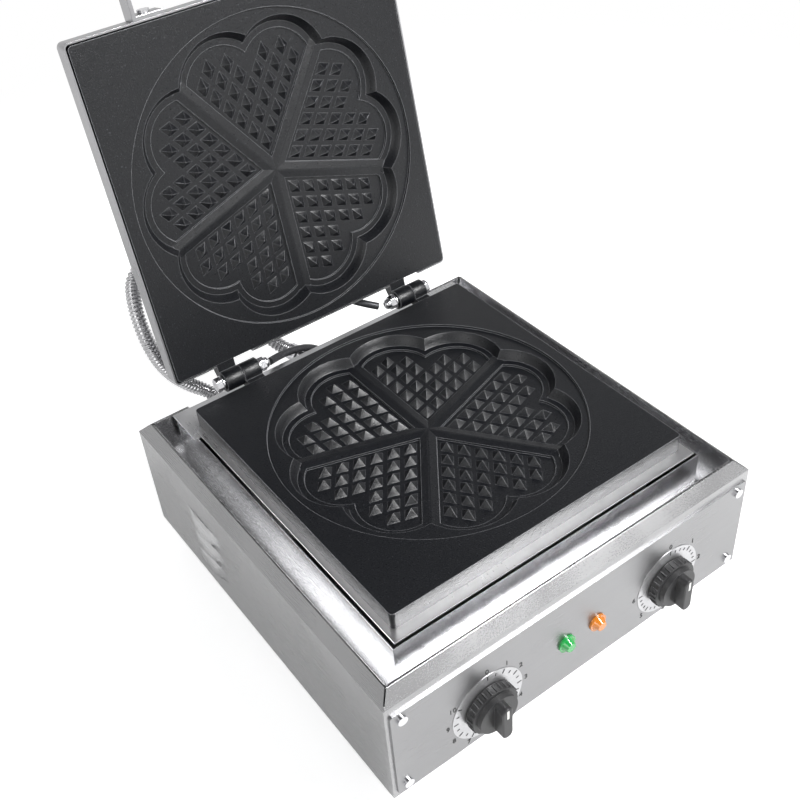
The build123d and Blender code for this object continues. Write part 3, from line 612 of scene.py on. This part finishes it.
def coated(name, s):
    material, tree, shader = freshMaterial(name)
    shader.inputs["Metallic"].default_value = s.get("metal", 0.0)
    if "coat" in s:
        shader.inputs["Coat Weight"].default_value = s["coat"]
        shader.inputs["Coat Roughness"].default_value = s["coatRough"]
    if "specular" in s:
        shader.inputs["Specular IOR Level"].default_value = s["specular"]
    specks = useGroup(tree, speckGroup, Fineness=s["fineness"], Amount=s["amount"])
    colour = tinted(tree, specks.outputs["Mask"], s["dark"], s["light"])
    # Painted highlight: where the edge mask is high, the colour is mixed toward a light grey.
    if "edge" in s:
        edges = useGroup(tree, edgeGroup, Width=s["edgeWidth"])
        highlighted = add(tree, "ShaderNodeMix", [("Factor", edges.outputs["Mask"]), ("A", colour)],
                   data_type="RGBA")
        highlighted.inputs["B"].default_value = (*s["edge"], 1)
        colour = highlighted.outputs["Result"]
    tree.links.new(colour, shader.inputs["Base Color"])
    rough = add(tree, "ShaderNodeMapRange", [
        ("Value", specks.outputs["Height"]),
        ("From Min", texture["gritFrom"]),
        ("From Max", texture["gritTo"]),
        ("To Min", s["low"]),
        ("To Max", s["high"]),
    ])
    tree.links.new(rough.outputs["Result"], shader.inputs["Roughness"])
    roughened(tree, shader, specks.outputs["Height"], s["bump"], texture["gritDepth"])
    return material


def lens(name, s):
    material, tree, shader = freshMaterial(name)
    shader.inputs["Roughness"].default_value = s["rough"]
    shader.inputs["Coat Weight"].default_value = s["coat"]
    specks = useGroup(tree, speckGroup, Fineness=s["fineness"], Amount=s["amount"])
    colour = tinted(tree, specks.outputs["Height"], s["dark"], s["light"])
    tree.links.new(colour, shader.inputs["Base Color"])
    shader.inputs["Emission Color"].default_value = (*s["light"], 1)
    shader.inputs["Emission Strength"].default_value = s["glow"]
    return material


metals = {
    "casingSteel": {
        "dark": (0.32, 0.32, 0.325), "light": (0.40, 0.40, 0.405), "stretch": (1.0, 0.03, 1.0),
        "fineness": 1600.0, "low": 0.22, "high": 0.34, "bump": 0.03,
    },
    "panelSteel": {
        "dark": (0.26, 0.26, 0.265), "light": (0.33, 0.33, 0.335), "stretch": (0.02, 1.0, 1.0),
        "fineness": 1500.0, "low": 0.26, "high": 0.38, "bump": 0.06,
    },
    "traySteel": {
        "dark": (0.46, 0.46, 0.47), "light": (0.60, 0.60, 0.61), "stretch": (1.0, 0.12, 1.0),
        "fineness": 1800.0, "low": 0.22, "high": 0.30, "bump": 0.004,
    },
    "supportSteel": {
        "dark": (0.70, 0.70, 0.71), "light": (0.82, 0.82, 0.83), "stretch": (1.0, 0.1, 1.0),
        "fineness": 1500.0, "low": 0.26, "high": 0.38, "bump": 0.04,
    },
    "lidSteel": {
        "dark": (0.32, 0.32, 0.33), "light": (0.42, 0.42, 0.43), "stretch": (1.0, 0.03, 0.03),
        "fineness": 1500.0, "low": 0.26, "high": 0.38, "bump": 0.04,
    },
    "brightZinc": {
        "dark": (0.58, 0.58, 0.60), "light": (0.80, 0.80, 0.82), "stretch": (1.0, 1.0, 1.0),
        "fineness": 700.0, "low": 0.14, "high": 0.34, "bump": 0.10,
    },
    "conduitSteel": {
        "dark": (0.36, 0.36, 0.37), "light": (0.56, 0.56, 0.57), "stretch": (1.0, 1.0, 1.0),
        "fineness": 500.0, "low": 0.16, "high": 0.34, "bump": 0.10,
    },
    "galvanisedSheet": {
        "dark": (0.40, 0.41, 0.43), "light": (0.58, 0.59, 0.60), "stretch": (1.0, 1.0, 1.0),
        "fineness": 160.0, "low": 0.34, "high": 0.55, "bump": 0.12,
    },
    "elementSheath": {
        "dark": (0.12, 0.10, 0.09), "light": (0.26, 0.23, 0.21), "stretch": (1.0, 1.0, 1.0),
        "fineness": 420.0, "low": 0.42, "high": 0.62, "bump": 0.20,
    },
    "copperTube": {
        "dark": (0.52, 0.27, 0.15), "light": (0.80, 0.46, 0.30), "stretch": (1.0, 1.0, 1.0),
        "fineness": 500.0, "low": 0.22, "high": 0.42, "bump": 0.10,
    },
}
coats = {
    # On the coating, the edge colour is a painted highlight along the rims.
    "nonStickCoating": {
        "dark": (0.004, 0.0045, 0.006), "light": (0.085, 0.09, 0.105), "fineness": 1000.0,
        "amount": 0.62, "low": 0.25, "high": 0.40, "bump": 0.75, "specular": 0.46, "coat": 0.03,
        "coatRough": 0.26, "edge": (0.26, 0.265, 0.28), "edgeWidth": 0.0006,
    },
    "blackBar": {
        "dark": (0.045, 0.046, 0.05), "light": (0.14, 0.14, 0.15), "fineness": 900.0,
        "amount": 0.55, "low": 0.30, "high": 0.50, "bump": 0.20, "metal": 0.6,
    },
    "mouldedBlack": {
        "dark": (0.018, 0.018, 0.019), "light": (0.05, 0.05, 0.052), "fineness": 1300.0,
        "amount": 0.50, "low": 0.36, "high": 0.52, "bump": 0.22,
    },
    "mouldedWhite": {
        "dark": (0.72, 0.72, 0.69), "light": (0.86, 0.86, 0.84), "fineness": 500.0, "amount": 0.45,
        "low": 0.28, "high": 0.42, "bump": 0.06,
    },
    "dialInk": {
        "dark": (0.012, 0.012, 0.013), "light": (0.04, 0.04, 0.042), "fineness": 1200.0,
        "amount": 0.5, "low": 0.45, "high": 0.6, "bump": 0.05,
    },
    "dialRing": {
        "dark": (0.50, 0.50, 0.51), "light": (0.60, 0.60, 0.61), "fineness": 900.0, "amount": 0.45,
        "low": 0.28, "high": 0.40, "bump": 0.05, "metal": 0.9,
    },
    "footRubber": {
        "dark": (0.022, 0.022, 0.023), "light": (0.07, 0.07, 0.07), "fineness": 800.0,
        "amount": 0.5, "low": 0.58, "high": 0.78, "bump": 0.30,
    },
    "ceramicWool": {
        "dark": (0.70, 0.67, 0.60), "light": (0.88, 0.86, 0.81), "fineness": 260.0, "amount": 0.42,
        "low": 0.80, "high": 0.95, "bump": 0.80,
    },
}
lenses = {
    "greenLens": {
        "dark": (0.011, 0.187, 0.0385), "light": (0.02, 0.34, 0.07), "fineness": 260.0, "amount": 0.5,
        "rough": 0.12, "coat": 0.6, "glow": 0.12,
    },
    "amberLens": {
        "dark": (0.341, 0.11, 0.011), "light": (0.62, 0.20, 0.02), "fineness": 260.0, "amount": 0.5,
        "rough": 0.12, "coat": 0.6, "glow": 0.12,
    },
}
finishes = {}
for table, make in ((metals, brushedMetal), (coats, coated), (lenses, lens)):
    for name, s in table.items():
        finishes[name] = make(name, s)

wears = {
    "casingSteel": ["casing"],
    "panelSteel": ["control_panel"],
    "traySteel": ["drip_tray"],
    "supportSteel": ["plate_support"],
    "lidSteel": ["lid_cover", "handle_arms"],
    "brightZinc": [
        "hinge_bolts", "hinge_washers", "cap_nuts", "handle_rod", "handle_screws", "panel_screws",
        "foot_screws", "cover_screws", "base_ferrules", "lid_ferrules", "lower_clamp_bolts",
        "upper_clamp_bolts",
    ],
    "galvanisedSheet": ["bottom_plate", "thermostat", "timer", "lower_clamp_plate", "upper_clamp_plate"],
    "nonStickCoating": ["lower_plate", "upper_plate"],
    "blackBar": ["base_stay", "lid_stay"],
    "mouldedBlack": ["handle_grip", "thermostat_knob", "timer_knob", "mains_gland"],
    "mouldedWhite": ["thermostat_pointer", "timer_pointer", "terminal_block"],
    "dialRing": ["dial_rings"],
    "footRubber": ["feet"],
    "ceramicWool": ["lower_insulation", "upper_insulation"],
    "elementSheath": ["lower_heating_element", "upper_heating_element"],
    "copperTube": ["temperature_sensor"],
    "greenLens": ["power_lamp"],
    "amberLens": ["heat_lamp"],
}


def wear(piece, finish):
    piece.data.materials.clear()
    piece.data.materials.append(finishes[finish])


for finish, names in wears.items():
    for name in names:
        wear(nodes[name], finish)
for piece in conduitPieces:
    wear(piece, "conduitSteel")
for piece in scalePieces:
    wear(piece, "dialInk")
for piece in ribPieces:
    wear(piece, "mouldedBlack")
print("finishes set")


# Studio: a white floor that keeps the shadow, a pale sky and three soft lamps.
def makeFloor():
    deselectAll()
    bpy.ops.mesh.primitive_plane_add(size=studio["floorSize"], location=(0, 0, -studio["floorDrop"]))
    floor = bpy.context.object
    floor.name = "studioFloor"
    settle(floor)
    material = bpy.data.materials.new("paleFloor")
    material.use_nodes = True
    tree = material.node_tree
    tree.nodes.clear()
    out = tree.nodes.new("ShaderNodeOutputMaterial")
    matte = tree.nodes.new("ShaderNodeBsdfDiffuse")
    matte.inputs[0].default_value = studio["floorColour"]
    glow = tree.nodes.new("ShaderNodeEmission")
    ray = tree.nodes.new("ShaderNodeLightPath")
    inCamera = ray.outputs["Is Camera Ray"]
    inGloss = ray.outputs["Is Glossy Ray"]
    seen = add(tree, "ShaderNodeMath", [(0, inCamera), (1, inGloss)], operation="MAXIMUM")
    inMetal = add(tree, "ShaderNodeMath", [(0, inGloss), (1, studio["floorInMetal"])],
                  operation="MULTIPLY")
    part = add(tree, "ShaderNodeMath",
               [(0, inCamera), (1, studio["floorLift"]), (2, inMetal.outputs[0])],
               operation="MULTIPLY_ADD")
    tree.links.new(part.outputs[0], glow.inputs["Strength"])
    both = tree.nodes.new("ShaderNodeAddShader")
    tree.links.new(matte.outputs[0], both.inputs[0])
    tree.links.new(glow.outputs[0], both.inputs[1])
    # Far from the machine the floor is plain white, so it has no edge against the sky.
    place = tree.nodes.new("ShaderNodeTexCoord")
    far = add(tree, "ShaderNodeVectorMath", [(0, place.outputs["Object"])], operation="LENGTH")
    fade = add(tree, "ShaderNodeMapRange", [
        ("Value", far.outputs["Value"]),
        ("From Min", studio["fadeFrom"]),
        ("From Max", studio["fadeTo"]),
    ], interpolation_type="SMOOTHSTEP")
    white = tree.nodes.new("ShaderNodeEmission")
    seenFar = add(tree, "ShaderNodeMath", [(0, fade.outputs["Result"]), (1, seen.outputs[0])],
                  operation="MULTIPLY")
    ground = add(tree, "ShaderNodeMixShader", [("Fac", seenFar.outputs[0])])
    tree.links.new(both.outputs[0], ground.inputs[1])
    tree.links.new(white.outputs[0], ground.inputs[2])
    tree.links.new(ground.outputs[0], out.inputs[0])
    floor.data.materials.append(material)


def makeSky():
    world = bpy.data.worlds.new("paleSky")
    bpy.context.scene.world = world
    world.use_nodes = True
    tree = world.node_tree
    tree.nodes.clear()
    out = tree.nodes.new("ShaderNodeOutputWorld")
    place = tree.nodes.new("ShaderNodeTexCoord")
    split = add(tree, "ShaderNodeSeparateXYZ", [(0, place.outputs["Generated"])])
    rise = add(tree, "ShaderNodeMapRange", [
        ("Value", split.outputs["Z"]),
        ("From Min", studio["skyFrom"]),
        ("From Max", studio["skyTo"]),
    ])
    blend = add(tree, "ShaderNodeMix", [("Factor", rise.outputs["Result"])], data_type="RGBA")
    blend.inputs["A"].default_value = studio["skyLow"]
    blend.inputs["B"].default_value = studio["skyHigh"]
    light = tree.nodes.new("ShaderNodeBackground")
    light.inputs["Strength"].default_value = studio["skyLevel"]
    tree.links.new(blend.outputs["Result"], light.inputs["Color"])
    plain = tree.nodes.new("ShaderNodeBackground")
    plain.inputs["Color"].default_value = (1, 1, 1, 1)
    ray = tree.nodes.new("ShaderNodeLightPath")
    mixed = add(tree, "ShaderNodeMixShader", [("Fac", ray.outputs["Is Camera Ray"])])
    tree.links.new(light.outputs[0], mixed.inputs[1])
    tree.links.new(plain.outputs[0], mixed.inputs[2])
    tree.links.new(mixed.outputs[0], out.inputs[0])


def makeLamp(s):
    data = bpy.data.lights.new(s["name"], "AREA")
    data.size = s["size"]
    data.energy = s["watts"]
    lamp = bpy.data.objects.new(s["name"], data)
    place = Vector(s["at"])
    placed = aimed((place - plateTop).normalized(), Vector((0, 0, 1))).to_4x4()
    placed.translation = place
    lamp.matrix_world = placed
    bpy.context.scene.collection.objects.link(lamp)


makeFloor()
makeSky()
for s in studio["lamps"]:
    makeLamp(s)
bpy.context.scene.view_settings.view_transform = "Standard"
print("studio made")
